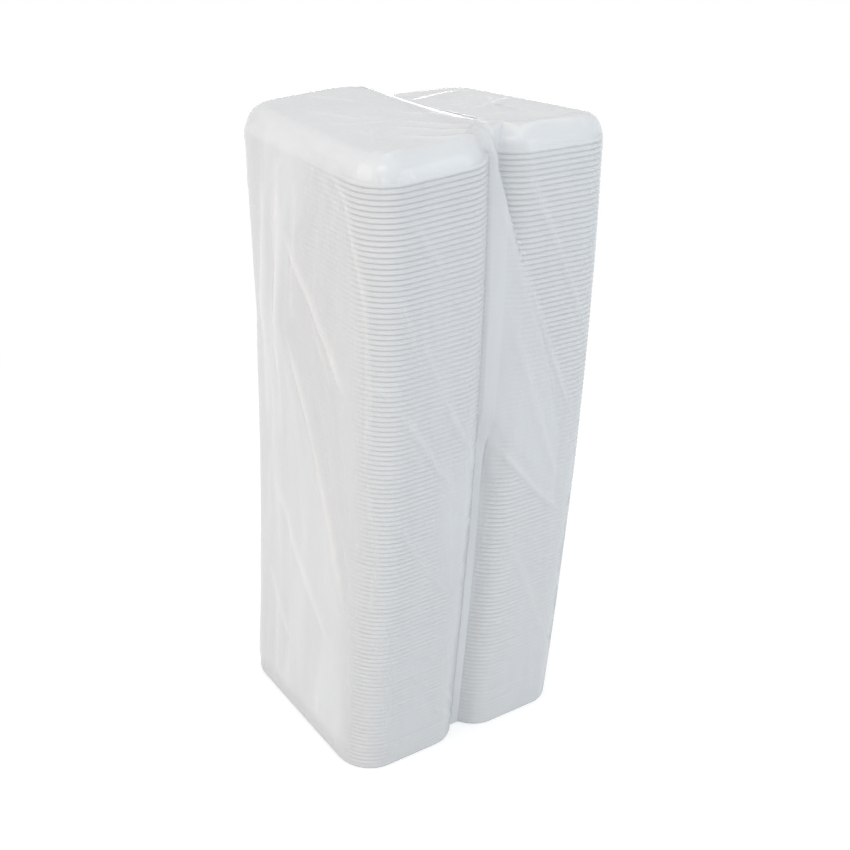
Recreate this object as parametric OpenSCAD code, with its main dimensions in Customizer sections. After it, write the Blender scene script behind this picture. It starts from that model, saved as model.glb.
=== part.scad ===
// Two side-by-side stacks of nested foam trays, base up, in one tight polythene film bag.
// Origin: middle of the underside. X runs across the two stacks, Y along each tray, Z up.

/* [Tray] */
// Length of a tray over its rim
tray_length = 233; // [180:1:300]
// Width of a tray over its rim
tray_width = 135; // [110:1:200]
// Height of a tray from its rim to its base
tray_depth = 24; // [18:1:32]
// Thickness of the foam wall
wall_t = 1.9; // [1.6:0.1:2.8]
// Thickness of the foam base
base_t = 2.6; // [1.8:0.1:3.2]
// Slope of the tray's walls away from upright
wall_slope = 25.5; // [23:0.5:30]
// Corner radius of the rim in plan
rim_corner_r = 37; // [28:1:45]
// Width of the flat rim outside the wall
rim_width = 5; // [3:0.5:7]
// Height of the rim's edge
rim_edge = 3.8; // [2.8:0.2:4]
// Chamfer along both sides of the rim's edge
rim_chamfer = 1.1; // [0.6:0.1:1.3]
// Radius of the bend from wall to base
base_bend_r = 7; // [4:0.5:9]

/* [Stack] */
// Trays in each of the two stacks
trays_per_stack = 125; // [50:25:125]
// Gap between the walls of two nested trays
nest_gap = 0.25; // [0.2:0.05:0.4]
// Gap between the rims of the two stacks at their foot
stack_gap = 0.5; // [0.5:0.5:6]
// Tilt to the left in degrees that each tray adds to the left stack
left_roll = 0.051; // [0.03:0.007:0.058]
// Tilt to the back in degrees that each tray adds to the left stack
left_nod = -0.005; // [-0.021:0.008:0.027]
// Tilt to the left in degrees that each tray adds to the right stack
right_roll = 0.022; // [0.006:0.008:0.03]
// Tilt to the back in degrees that each tray adds to the right stack
right_nod = 0.033; // [0.001:0.008:0.033]

/* [Film bag] */
// Thickness of the film as modelled
film_t = 0.4; // [0.3:0.1:0.6]
// Gap between the film and the trays where it is tight
film_gap = 0.6; // [0.6:0.1:1.2]
// How far round the inner corners the film follows before it spans the valley
valley_wrap = 58; // [40:1:65]
// Furthest reach of the front tent over the right stack
tent_reach = 104; // [40:1:110]
// Share of the stack's height at which the front tent ends above
tent_top = 1.06; // [1:0.02:1.1]
// Share of the stack's height at which the front tent reaches furthest
tent_low = 0.58; // [0.5:0.02:0.7]
// Share of the stack's height at which the front tent ends below
tent_foot = 0.46; // [0.3:0.02:0.48]

// Diameter of the pin-hole vent in the film's underside
vent_d = 3; // [2:0.5:4]

/* [Hidden] */
sides = ["left", "right"];
groups = 25;
top_bend_steps = 6;

// Stack
pitch = (wall_t + nest_gap) / sin(wall_slope);
stack_h = (trays_per_stack - 1) * pitch;
foot_z = film_t + film_gap;
stack_x = (tray_width + stack_gap) / 2;
lean_power = 1.6;
tray_colour = [0.95, 0.96, 0.97];
film_colour = [0.86, 0.9, 0.93, 0.55];

// Film mesh
body_rows = 20;
side_steps = 3;
front_steps = 3;
outer_corner_steps = 5;
inner_corner_steps = 4;
bridge_steps = 3;

// Film folds, each from one point to another, in shares of half the pack's width, half its length and its height,
// then how far the fold stands proud and its half width
folds = [
    [[-1.0, -0.55, 0.95], [-1.0, -0.75, 0.70], 2.5, 24],
    [[-1.0, -0.75, 0.70], [-1.0, -0.85, 0.45], 2.0, 22],
    [[-1.0, 0.30, 0.97], [-1.0, -0.20, 0.60], 2.2, 26],
    [[-1.0, -0.20, 0.60], [-1.0, -0.60, 0.25], 1.6, 26],
    [[-1.0, 0.85, 0.90], [-1.0, 0.70, 0.45], 2.0, 22],
    [[-0.80, -1.0, 0.90], [-0.30, -1.0, 0.72], 1.6, 24],
    [[-0.75, -1.0, 0.66], [-0.10, -1.0, 0.50], 1.8, 22],
    [[0.15, -1.0, 0.52], [0.95, -1.0, 0.40], 2.0, 24],
    [[-0.85, -0.85, 1.0], [0.05, -0.25, 1.0], 1.8, 22],
    [[-0.70, -0.30, 1.0], [0.15, -0.80, 1.0], 1.6, 20],
    [[0.10, 0.20, 1.0], [0.60, 0.85, 1.0], 1.5, 22],
    [[1.0, 0.60, 0.92], [1.0, -0.30, 0.55], 2.0, 26],
    [[0.70, 1.0, 0.90], [0.20, 1.0, 0.45], 2.0, 26],
    [[-0.60, 1.0, 0.80], [-0.20, 1.0, 0.35], 2.0, 26]
];

// Distance from the rim's outer edge in to the wall, at a height above the rim's lower face
function wall_inset(z) = rim_width + (z - rim_edge) * tan(wall_slope);

// Tangent length of the bend, and the inset and height of its centre
bend_tangent = base_bend_r * tan((90 - wall_slope) / 2);
bend_inset = wall_inset(tray_depth) + bend_tangent;
bend_z = tray_depth - base_bend_r;

// Tilt and sideways lean at a share t of the stack's height
function tilt(step, t) = atan(tan(step * (trays_per_stack - 1)) * pow(t, lean_power));
function lean(step, t) =
    tan(step * (trays_per_stack - 1)) * pow(t, lean_power + 1) / (lean_power + 1) * stack_h;
function roll_of(side) = side < 0 ? -left_roll : -right_roll;
function nod_of(side) = side < 0 ? left_nod : right_nod;
function place(side, t) =
    [side * stack_x + lean(roll_of(side), t), lean(nod_of(side), t), foot_z + t * stack_h];
function turn(side, t) = [-tilt(nod_of(side), t), tilt(roll_of(side), t), 0];

// A point of a tray's own frame, carried to the pack's frame
function carried(p, side, t) =
    let (a = turn(side, t))
    let (y = p.y * cos(a.x) - p.z * sin(a.x), z = p.y * sin(a.x) + p.z * cos(a.x))
    place(side, t) + [p.x * cos(a.y) + z * sin(a.y), y, -p.x * sin(a.y) + z * cos(a.y)];

// A point on the outer face of the bend, from the wall's angle to 90 at the base
function bend_point(f) =
    [rim_corner_r - bend_inset + base_bend_r * cos(f), bend_z + base_bend_r * sin(f)];

// Section of rim, wall and base: x is the distance from the corner's axis, and start is where the base begins
module wall_profile(start, bend_steps) {
    inner_z = tray_depth - base_t;
    wall_x = wall_t / cos(wall_slope);
    polygon(concat(
        [
            [rim_corner_r - wall_inset(0) - wall_x, 0],
            [rim_corner_r - rim_chamfer, 0],
            [rim_corner_r, rim_chamfer],
            [rim_corner_r, rim_edge - rim_chamfer],
            [rim_corner_r - rim_chamfer, rim_edge],
            [rim_corner_r - wall_inset(rim_edge), rim_edge]
        ],
        [for (k = [0:bend_steps]) bend_point(wall_slope + (90 - wall_slope) * k / bend_steps)],
        [
            [start, tray_depth],
            [start, inner_z],
            [rim_corner_r - wall_inset(inner_z) - wall_x, inner_z]
        ]
    ));
}

// One corner of a tray: the section turned about the corner's axis
module corner(axis, bend_steps) {
    translate([axis.x, axis.y, 0])
        rotate_extrude(angle = 90, $fn = 96)
            wall_profile(0, bend_steps);
}

// One side of a tray, facing +X, between two corners
module side(axis, start, bend_steps) {
    translate([axis.x, axis.y, 0])
        rotate([90, 0, 0])
            linear_extrude(height = 2 * axis.y)
                wall_profile(start, bend_steps);
}

// One foam tray, base up, with its rim's lower face at Z = 0
module tray(bend_steps) {
    half_w = tray_width / 2 - rim_corner_r;
    half_l = tray_length / 2 - rim_corner_r;
    for (q = [0:3], at_corner = [true, false])
        rotate([0, 0, 90 * q])
            if (at_corner)
                corner(q % 2 == 0 ? [half_w, half_l] : [half_l, half_w], bend_steps);
            else
                side(q % 2 == 0 ? [half_w, half_l] : [half_l, half_w], q % 2 == 0 ? -half_w : 0, bend_steps);
}

// A tray at its place in a stack, counted from 0 at the foot
module stacked_tray(stack, i, bend_steps) {
    t = i / (trays_per_stack - 1);
    color(tray_colour)
        centred()
            translate(place(stack, t))
                rotate(turn(stack, t))
                    tray(bend_steps);
}

// Trays of one node: solids of their own, evenly spaced up the stack, so that no two of them nest
module tray_group(stack, b) {
    for (i = [b - 1 : groups : trays_per_stack - 2])
        stacked_tray(stack, i, 1);
}

// The tray that shows on top of a stack, with its bend in finer steps
module top_tray(stack) {
    stacked_tray(stack, trays_per_stack - 1, top_bend_steps);
}

// Rows of the film: share of the stack's height, then height, inset and facing angle on the tray it lies against
chord_angle = 36;
film_rows = concat(
    [for (f = [-90, -45]) [0, rim_chamfer + rim_chamfer * sin(f), rim_chamfer - rim_chamfer * cos(f), f]],
    [for (j = [0:body_rows]) [j / body_rows, rim_edge / 2, 0, 0]],
    [[1, rim_edge - rim_chamfer * (1 - sin(chord_angle)), rim_chamfer * (1 - cos(chord_angle)), chord_angle]],
    [for (f = [chord_angle, 62, 90])
        [1, bend_z + base_bend_r * sin(f), bend_inset - base_bend_r * cos(f), f]]
);

// Points along an arc round a corner, each with its facing direction
function arc(centre, r, from, sweep, steps) =
    [for (k = [0:steps])
        let (d = [cos(from + sweep * k / steps), sin(from + sweep * k / steps)])
        [centre + r * d, d]];

// Front half of one stack's outline for an outward growth g: points with their facing directions,
// from the middle of the outer side to where the film leaves the inner corner
function half_outline(g) =
    let (r = rim_corner_r + g, x = tray_width / 2 + g - r, y = tray_length / 2 + g - r)
    let (inner = arc([x, -y], r, 270, valley_wrap, inner_corner_steps))
    concat(
        [for (k = [0 : side_steps - 1]) [[-x - r, -y * k / side_steps], [-1, 0]]],
        arc([-x, -y], r, 180, 90, outer_corner_steps),
        [for (k = [1 : front_steps - 1]) [[-x + 2 * x * k / front_steps, -y - r], [0, -1]]],
        [for (k = [0 : inner_corner_steps - 1]) inner[k]],
        [[inner[inner_corner_steps][0], [0, -1]]]
    );

// How far a fold lifts the film at a point of the pack
fold_scale = [stack_x + tray_width / 2, tray_length / 2, foot_z + stack_h + tray_depth];
function scaled(p) = [p.x * fold_scale.x, p.y * fold_scale.y, p.z * fold_scale.z];
function from_line(p, a, b) =
    let (s = max(0, min(1, (p - a) * (b - a) / ((b - a) * (b - a)))))
    norm(p - a - s * (b - a));
function fold_lift(p) =
    max([for (f = folds) f[2] * max(0, 1 - from_line(p, scaled(f[0]), scaled(f[1])) / f[3])]);

// A film point with its facing direction: outline point o of one stack in a row, on the front or the back
function film_point(o, stack, end, row) =
    let (f = [-stack * o[1].x * cos(row[3]), end * o[1].y * cos(row[3]), sin(row[3])])
    let (p = carried([-stack * o[0].x, end * o[0].y, row[1] + film_gap * sin(row[3])], stack, row[0]))
    [row[0] > 0 ? p + fold_lift(p) * f : p, f];

// Reach of the front tent over the right stack at a share t of the height
function tent(t) =
    tent_reach * (t > tent_low ? (tent_top - t) / (tent_top - tent_low)
                               : max(0, (t - tent_foot) / (tent_low - tent_foot)));

// The half ring of a row, front (end 1) or back (end -1), from the left side's middle to the right side's middle
function half_ring(row, end) =
    let (g = film_gap * cos(row[3]) - row[2], o = half_outline(g), n = len(o))
    let (left = [for (k = [0 : n - 1]) film_point(o[k], -1, end, row)])
    let (right = [for (k = [n - 1 : -1 : 0]) film_point(o[k], 1, end, row)])
    let (a = left[n - 1][0], b = right[0][0], f = [0, -end * cos(row[3]), sin(row[3])])
    let (span = [for (k = [1 : bridge_steps - 1]) [a + (b - a) * k / bridge_steps, f]])
    let (reach = end > 0 ? tent(row[0]) : 0)
    let (front = carried([0, -tray_length / 2 - g, row[1]], 1, row[0]).y)
    concat(left, [for (q = concat(span, right))
        let (s = reach > 0 ? (q[0].x - a.x) / (b.x + reach - a.x) : 1)
        [s < 1 ? [q[0].x, min(q[0].y, a.y + (front - a.y) * s), q[0].z] : q[0], q[1]]]);

// A closed ring: the front half, then the back half without the two middles it shares
function ring(row) =
    let (f = half_ring(row, 1), b = half_ring(row, -1))
    concat(f, [for (k = [len(b) - 2 : -1 : 1]) b[k]]);

rings = [for (row = film_rows) each ring(row)];
ring_half = 2 * (side_steps + outer_corner_steps + front_steps + inner_corner_steps + 1) + bridge_steps - 1;
ring_n = 2 * ring_half - 2;
last_ring = len(rings) - ring_n;

// Rows of points across the top, between the last ring's front and back. The points of the two long sides
// are the first and last column. Over the valley the columns reach in past
// the straights of the trays' edges and stand a little higher, clear of the bends.
cap_rows = 2 * side_steps;
left_last = side_steps + outer_corner_steps + front_steps + inner_corner_steps;
inner_slack = (rim_corner_r - bend_inset) * (1 - sin(valley_wrap));
function reach_in(k) =
    k < left_last || k > left_last + bridge_steps ? [0, 0, 0]
    : [inner_slack * (1 - 2 * (k - left_last) / bridge_steps), 0, film_gap];
cap_columns = ring_half - 1 - 2 * side_steps;
function row_share(j, f, b) =
    let (w = min(0.9, (tray_length - 2 * rim_corner_r) / (b.y - f.y)))
    (1 - w) / 2 + w * (j - 1) / (cap_rows - 2);
across = [for (j = [1 : cap_rows - 1], c = [1 : cap_columns - 1])
    let (k = side_steps + c, f = rings[last_ring + k][0], b = rings[last_ring + ring_n - k][0])
    let (s = row_share(j, f, b), p = f * (1 - s) + b * s)
    [p + reach_in(k) + [0, 0, max(0, fold_lift(p) - fold_lift(f) * (1 - s) - fold_lift(b) * s)], [0, 0, 1]]];

// Middle of the bag's box in plan. Every part is drawn shifted by it, so that the origin is in the middle.
outer = [for (q = concat(rings, across)) q[0] + film_t * q[1]];
outer_x = [for (p = outer) p.x];
outer_y = [for (p = outer) p.y];
box_middle = [min(outer_x) + max(outer_x), min(outer_y) + max(outer_y), 0] / 2;
module centred() {
    translate(-box_middle)
        children();
}

// Index of the point in row j and column c of the top
function lid_point(j, c) =
    c == 0 ? last_ring + (side_steps - j + ring_n) % ring_n
    : c == cap_columns ? last_ring + side_steps + c + j
    : j == 0 ? last_ring + side_steps + c
    : j == cap_rows ? last_ring + ring_n - side_steps - c
    : len(rings) + (j - 1) * (cap_columns - 1) + c - 1;

// Outer faces of the film. The underside runs in to the vent, whose points follow those of both skins.
skin_n = len(rings) + len(across);
vent_steps = 8;
function vent_step(k) =
    k == ring_n ? vent_steps
    : round((atan2(rings[k][0].y, rings[k][0].x) + 180) % 360 / 360 * vent_steps);
function vent_point(k) = 2 * skin_n + k % vent_steps;
walls = [for (r = [0 : len(film_rows) - 2], k = [0 : ring_n - 1])
    let (a = r * ring_n + k, b = r * ring_n + (k + 1) % ring_n)
    each [[a, a + ring_n, b], [b, a + ring_n, b + ring_n]]];
lid = [for (j = [0 : cap_rows - 1], k = [0 : cap_columns - 1])
    let (a = lid_point(j, k), b = lid_point(j, k + 1))
    let (c = lid_point(j + 1, k + 1), d = lid_point(j + 1, k))
    each [[a, d, c], [a, c, b]]];
underside = [for (k = [0 : ring_n - 1])
    let (b = (k + 1) % ring_n)
    each concat(
        [[k, b, vent_point(vent_step(k))]],
        [for (m = [vent_step(k) : 1 : vent_step(k + 1) - 1]) [b, vent_point(m + 1), vent_point(m)]]
    )];
outer_faces = concat(walls, lid, underside);

// The face of the inner skin behind one of the outer skin, turned the other way
function behind(f) = [for (k = [2, 1, 0]) f[k] + (f[k] < skin_n ? skin_n : vent_steps)];

// The closed bag: one thin film round both stacks, with a vent between their feet
module film_bag() {
    vent_wall = [for (k = [0 : vent_steps - 1])
        [vent_point(k), vent_point(k + 1), vent_point(k + 1) + vent_steps, vent_point(k) + vent_steps]];
    vent_points = [for (z = [0, film_t], k = [0 : vent_steps - 1])
        let (a = 180 + 360 * k / vent_steps)
        [cos(a) * vent_d / 2, sin(a) * vent_d / 2, z]];
    color(film_colour)
        centred()
            polyhedron(
                points = concat(outer, [for (q = concat(rings, across)) q[0]], vent_points),
                faces = concat(outer_faces, [for (f = outer_faces) behind(f)], vent_wall)
            );
}

film_bag();
for (s = [0, 1], b = [1:groups])
    tray_group(2 * s - 1, b);
for (s = [0, 1])
    top_tray(2 * s - 1);
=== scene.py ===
"""A bagged pack of foam trays: two leaning stacks of nested white trays in one tight film bag.

The film is worked out in millimetres and made in metres; everything else is in metres. All of it is in
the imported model's frame: X across the two stacks, Y along the trays, Z up.
"""

import math

import bpy
import numpy as np
from mathutils import Matrix, Vector


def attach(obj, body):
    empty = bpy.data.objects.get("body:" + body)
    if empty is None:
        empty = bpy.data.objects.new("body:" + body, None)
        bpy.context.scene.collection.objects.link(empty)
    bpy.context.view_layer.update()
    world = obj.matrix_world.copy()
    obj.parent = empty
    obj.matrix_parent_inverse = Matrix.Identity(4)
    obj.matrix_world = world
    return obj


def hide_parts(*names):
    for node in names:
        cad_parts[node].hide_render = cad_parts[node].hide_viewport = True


bl_info = {
    "name": "Bagged Tray Pack",
    "version": (1, 0, 0),
    "blender": (4, 5, 0),
    "location": "3D View > Sidebar > Tray Pack",
    "description": "Two stacks of nested foam trays in a tight, creased film bag",
    "category": "Add Mesh",
}

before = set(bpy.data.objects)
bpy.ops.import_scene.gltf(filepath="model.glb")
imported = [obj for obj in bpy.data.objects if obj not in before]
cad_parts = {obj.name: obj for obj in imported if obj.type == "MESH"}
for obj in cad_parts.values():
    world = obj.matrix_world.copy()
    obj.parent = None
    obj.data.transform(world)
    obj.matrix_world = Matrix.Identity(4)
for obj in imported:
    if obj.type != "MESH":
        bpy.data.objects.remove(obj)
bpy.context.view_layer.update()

MM = 0.001

# The tray and the stack, in millimetres, as in the part's source
TRAY_LENGTH = 233.0
TRAY_WIDTH = 135.0
TRAY_DEPTH = 24.0
WALL_T = 1.9
WALL_SLOPE = math.radians(25.5)
RIM_R = 37.0
RIM_WIDTH = 5.0
RIM_EDGE = 3.8
BEND_R = 7.0
TRAYS = 125
NEST_GAP = 0.25
STACK_GAP = 0.5
FOOT_Z = 1.0
# Lean of a stack, in degrees for each tray: sideways, then along Y; it grows with this power of the height
LEFT_TILT = (-0.051, -0.005)
RIGHT_TILT = (-0.022, 0.033)
LEAN_POWER = 1.6
# Middle of the box in the part's source, which is X = Y = 0 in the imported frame
BOX_MIDDLE = np.array([-13.1429, 6.7628, 0.0])

PITCH = (WALL_T + NEST_GAP) / math.sin(WALL_SLOPE)
STACK_H = (TRAYS - 1) * PITCH
STACK_X = (TRAY_WIDTH + STACK_GAP) / 2
BEND_INSET = RIM_WIDTH + (TRAY_DEPTH - RIM_EDGE) * math.tan(WALL_SLOPE) + BEND_R * math.tan(
    (math.pi / 2 - WALL_SLOPE) / 2
)

# Steps of the film round half a stack's outline: outer side, outer corner, front, and inner corner
STEPS = (25, 18, 24, 9)
HALF_COLUMNS = sum(STEPS) + 1
# How far round its inner corner the film follows a stack, in degrees; then its steps across the valley, and
# how hazy it is there
VALLEY_WRAP = 58.0
BRIDGE = 10
VALLEY_HAZE = 0.6
# Columns on each side of the back valley where the film moves straight back
BACK_TURN = 4

# Rows of the film: share of the stack's height, height on the tray, inset, and facing angle in degrees.
# The foot has two rows; then each tray has a row at its rim and one in the gap above it.
FOOT_ROWS = [(0, 0.0, 2.0, -90), (0, 0.35, 0.3, -45)]
BODY_ROWS = 2 * (TRAYS - 1) + 1
BODY = slice(len(FOOT_ROWS), len(FOOT_ROWS) + BODY_ROWS)
# Curve of the film over the top tray, from the rim to the base's flat: inset, then height, of its four points
DOME_CURVE = [(0.3, RIM_EDGE - 0.4), (2.5, 15.0), (7.5, TRAY_DEPTH), (BEND_INSET, TRAY_DEPTH)]
DOME_ROWS = 12
# How hazy the dome gets, and over how many rows
DOME_HAZE = 0.5
DOME_HAZE_ROWS = 5

# The flat top: its rings, the rings that blend it with the dome, how far it lies over the trays, how far
# past a tray's bend its film stays flat, and the line that it shrinks to, by X, share of Y and half length
TOP_RINGS = 38
TOP_BLEND = 4
TOP_LIFT = 0.6
PAST_EDGE = 5.0
TOP_MIDDLE_X = 6.0
TOP_SHRINK = 0.62
TOP_MIDDLE_Y = 60

# Creases that the film shows, each a line of points in millimetres, then how far it stands proud,
# its half width, and how sharp its ridge is
CREASES = [
    # front, over the valley and the right stack
    ([(-14, -112, 628), (27, -113, 536), (64, -117, 459), (122, -120, 341)], 1.8, 6, 1.4),
    ([(-6, -110, 600), (20, -112, 536), (55, -117, 459), (110, -121, 345)], 1.2, 6, 1.4),
    ([(16, -110, 495), (60, -119, 388), (108, -124, 278)], 2.0, 9, 1.6),
    ([(-2, -110, 363), (37, -120, 329), (73, -123, 290), (113, -122, 252)], 2.2, 9, 1.8),
    ([(30, -107, 612), (74, -113, 536), (119, -115, 450)], 1.0, 8, 1.4),
    ([(65, -123, 206), (112, -123, 95)], 0.8, 9, 1.4),
    ([(40, -118, 250), (85, -123, 160)], 0.7, 8, 1.4),
    # front of the left stack
    ([(-110, -127, 592), (-82, -128, 555), (-51, -127, 510)], 1.1, 8, 1.6),
    ([(-115, -124, 528), (-80, -126, 440)], 0.9, 8, 1.4),
    ([(-90, -126, 489), (-49, -126, 404), (8, -112, 313)], 1.6, 9, 1.6),
    ([(-104, -124, 415), (-67, -125, 362), (-6, -116, 269)], 1.5, 9, 1.6),
    ([(-100, -124, 300), (-60, -125, 236), (-22, -122, 190)], 0.8, 8, 1.4),
    ([(-19, -124, 72), (12, -107, 27)], 1.2, 6, 1.4),
    ([(-30, -124, 54), (19, -107, 6)], 1.2, 6, 1.4),
    # left side
    ([(-145, -58, 623), (-147, -87, 597), (-143, -94, 565), (-139, -102, 541)], 1.6, 7, 1.8),
    ([(-149, -46, 608), (-146, -78, 582)], 1.2, 6, 1.6),
    ([(-146, -88, 612), (-143, -61, 560)], 1.0, 6, 1.6),
    ([(-141, 19, 532), (-139, -14, 495), (-135, -46, 458), (-133, -80, 412)], 2.4, 11, 1.8),
    ([(-136, -25, 468), (-134, -41, 438), (-133, -58, 408)], 2.0, 7, 2.2),
    ([(-134, 27, 440), (-130, -13, 362), (-127, -56, 263), (-125, -87, 175)], 2.0, 12, 1.6),
    ([(-145, 53, 600), (-135, 68, 457), (-128, 66, 305)], 1.6, 10, 1.4),
    ([(-146, 21, 600), (-134, 44, 445), (-127, 37, 306)], 1.4, 9, 1.4),
    ([(-147, -6, 600), (-134, 15, 445)], 1.2, 8, 1.4),
    ([(-127, 53, 275), (-124, 2, 195), (-123, -61, 122)], 1.2, 12, 1.4),
    ([(-124, 64, 159), (-123, 19, 83)], 1.0, 10, 1.4),
    ([(-129, -100, 436), (-121, -114, 432), (-109, -120, 426)], 1.4, 7, 1.6),
    # edge of the film that is stretched flat beside the near corner
    ([(-147, -87, 597), (-135, -105, 516), (-127, -108, 428), (-124, -106, 342)], 1.4, 7, 1.6),
    ([(-124, -106, 342), (-112, -117, 257), (-114, -111, 176)], 1.2, 7, 1.6),
    # top of the left stack: a fan at the near corner and a bundle of creases across to the valley
    ([(-120, -109, 640), (-140, -113, 617)], 1.3, 4.5, 1.3),
    ([(-118, -106, 641), (-133, -120, 616)], 1.3, 4.5, 1.3),
    ([(-116, -107, 641), (-121, -125, 616)], 1.3, 4.5, 1.3),
    ([(-114, -105, 642), (-108, -127, 619)], 1.3, 4.5, 1.3),
    ([(-122, -104, 640), (-146, -98, 618)], 1.3, 4.5, 1.3),
    ([(-72, -34, 647), (-46, -72, 649), (-17, -100, 647), (-9, -109, 620)], 1.7, 7, 1.4),
    ([(-61, -11, 648), (-25, -49, 650), (-4, -98, 647), (-2, -109, 622)], 1.7, 7, 1.4),
    ([(-92, -79, 645), (-68, -104, 646), (-25, -112, 632), (-16, -111, 612)], 1.5, 6.5, 1.4),
    ([(-84, -52, 646), (-54, -88, 648), (-24, -106, 643)], 1.4, 6.5, 1.4),
    ([(-120, -16, 641), (-70, -40, 647)], 1.2, 6, 1.4),
    ([(-118, 39, 642), (-96, -10, 644), (-68, -32, 647)], 1.2, 7, 1.4),
    ([(-112, -43, 642), (-106, -78, 642)], 1.2, 4, 1.4),
    ([(-96, -42, 645), (-122, -84, 640)], 1.0, 4, 1.4),
    ([(-90, 84, 641), (-60, 30, 646)], 1.0, 8, 1.4),
    # top of the right stack
    ([(46, -11, 647), (104, 19, 646)], 1.2, 5, 1.4),
    ([(92, 36, 645), (34, -54, 649)], 1.0, 5, 1.4),
    ([(68, 2, 647), (69, -55, 650)], 1.0, 4, 1.4),
    ([(7, -101, 640), (24, -96, 647), (49, -91, 648), (104, -96, 644)], 1.4, 6.5, 1.4),
    ([(12, -64, 650), (19, -82, 650), (26, -102, 634)], 1.4, 6.5, 1.4),
    ([(20, 60, 645), (88, 84, 640)], 1.2, 8, 1.4),
    # right side and back, which the photo doesn't show
    ([(132, 70, 600), (128, 20, 470), (124, -40, 350)], 2.0, 12, 1.6),
    ([(130, -60, 590), (127, 0, 480), (124, 60, 330)], 1.6, 11, 1.4),
    ([(124, 40, 260), (122, -20, 150), (121, -70, 60)], 1.4, 11, 1.4),
    ([(100, 122, 600), (40, 118, 470), (10, 108, 340)], 2.0, 12, 1.6),
    ([(-110, 112, 590), (-50, 112, 450), (0, 106, 330)], 2.0, 12, 1.6),
    ([(90, 116, 380), (50, 113, 240), (20, 106, 120)], 1.5, 11, 1.4),
    ([(-100, 110, 360), (-60, 110, 220), (-10, 105, 90)], 1.5, 11, 1.4),
]

# Creases as low as this go over the rounded edge of the top, where height counts less in their width
EDGE_CREASES_FROM = 606
EDGE_FLATTEN = 0.2
# Share of a crease's length over which each end tapers, and how high the very end still is
CREASE_TAPER = 0.18
CREASE_END = 0.3

# Where the front tent of film lands on the right stack, from its top down: height, then reach in X
TENT_LANDING = [(655, -12), (618, -4), (536, 27), (459, 64), (341, 106), (235, 110)]
# Lower edge of the tent: X, then height
TENT_FOOT = [(-20, 395), (5, 363), (37, 329), (73, 290), (113, 235), (140, 205)]
# Over how much height the film comes back to the trays there, and the share of it below the edge
TENT_FADE = 60.0
TENT_BELOW = 0.4
# The tent leaves the left stack this many columns before the valley
TENT_LEAVES = 3
# How hazy the tent is, the shares of its width over which the haze fades at its two edges, and the height
# from which it rises and its reach
TENT_HAZE = 0.5
LANDING_FADE = 0.1
LEAVING_FADE = 0.3
TENT_HAZE_FROM = (200, 40)

# Half sizes that tell the pack's sides from its front and back, across and along
HALF_ACROSS = 140
HALF_ALONG = 118

# Small creases: count, lengths, widths and sharpness, the spread of their lean, and its middle on a side and
# on a front
SMALL_COUNT = 360
SMALL_LENGTHS = (14, 70)
SMALL_LENGTHS_TOP = (12, 30)
SMALL_WIDTHS = (3.0, 6.5)
SMALL_SHARPNESS = 1.5
SMALL_SPREAD = 0.4
SMALL_LEAN_SIDE = 0.15
SMALL_LEAN_FRONT = -0.3
# Least share of the full height that a small crease has, and the full height by place
SMALL_LEAST = 0.25
SMALL_RISE_TOP = 0.6
SMALL_RISE_FRONT = 0.3
SMALL_RISE_SIDE = 0.8
# Heights that bound the places of small creases: foot, low part, low left side and top; then the shares of
# them that are left out of those places
FOOT_TO = 6
LOW_TO = 220
LOW_SIDE_TO = 420
TOP_FROM = 632
TOP_LEFT_OUT = 0.8
LOW_LEFT_OUT = 0.6
LOW_SIDE_LEFT_OUT = 0.6
# Past this X or Y a point is on the left side or the front
FACE_FROM = -100

# On the left side, the film is stretched flat behind the slack line, and hugs the rims in front of the hug
# line: height, then Y. The fades are start and reach in Y.
SLACK_LINE = [(60, -98), (175, -87), (263, -56), (362, -13), (440, 27), (540, 5), (620, -40)]
HUG_LINE = [
    (0, -104),
    (176, -111),
    (257, -115),
    (342, -106),
    (428, -108),
    (516, -105),
    (597, -87),
    (650, -80),
]
SLACK_FADE = (-12, 30)
HUG_FADE = (0, 10)
# How far the film stands off the trays, from 0 to 1: on the left, how much more behind the slack line, on
# the right and on the back
LEFT_OFF = 0.45
SLACK_OFF = 0.5
RIGHT_OFF = 0.8
BACK_OFF = 0.7
# Where the right side's film comes off, along Y, and how much a point has to face each way: start and reach
RIGHT_FADE = (-75, 60)
LEFT_FACING = (0, 0.4)
RIGHT_FACING = (0.6, 0.4)
BACK_FACING = (0.45, 0.4)
FRONT_FACING = (0.3, 0.4)
# Soft patches on the fronts where the film stands off the trays: X, height, reach along each, and how much
FRONT_PATCHES = [
    (-30, 292, 30, 75, 0.65),
    (-62, 440, 34, 110, 0.3),
    (-70, 120, 60, 90, 0.15),
    (14, 350, 24, 40, 0.6),
    (102, 330, 38, 90, 0.35),
    (96, 560, 30, 70, 0.2),
    (100, 100, 30, 90, 0.25),
]

# Soft folds: how many waves add up, their lengths across, the heights over which they swell and drift, how
# far they swell and drift, and how sharply the sum is told apart
FOLD_WAVES = 6
FOLD_LENGTHS = (15, 58)
SWELL_HEIGHTS = (120, 260)
DRIFT_HEIGHTS = (70, 120)
FOLD_SWELL = 0.45
FOLD_DRIFT = 4
FOLD_CONTRAST = 0.8
# How far from the slack line folds run along it, and how much those of the front and back lean
FOLLOW_REACH = 60
FOLD_LEAN = 0.12

# Cloud of soft patches: how many waves add up, their lengths as shares of the size, and its contrast
CLOUD_WAVES = 9
CLOUD_LENGTHS = (0.7, 2.2)
CLOUD_CONTRAST = 0.55

# How far the film lies off the trays: everywhere, and under the foot
FILM_OUT = 0.45
UNDER_OUT = 0.5
# Where it stands off: how far at least, and how much more on a fold; then what folds add everywhere
OFF_LEAST = 0.3
OFF_FOLDS = 2.2
FOLDS_OUT = 0.3
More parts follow.
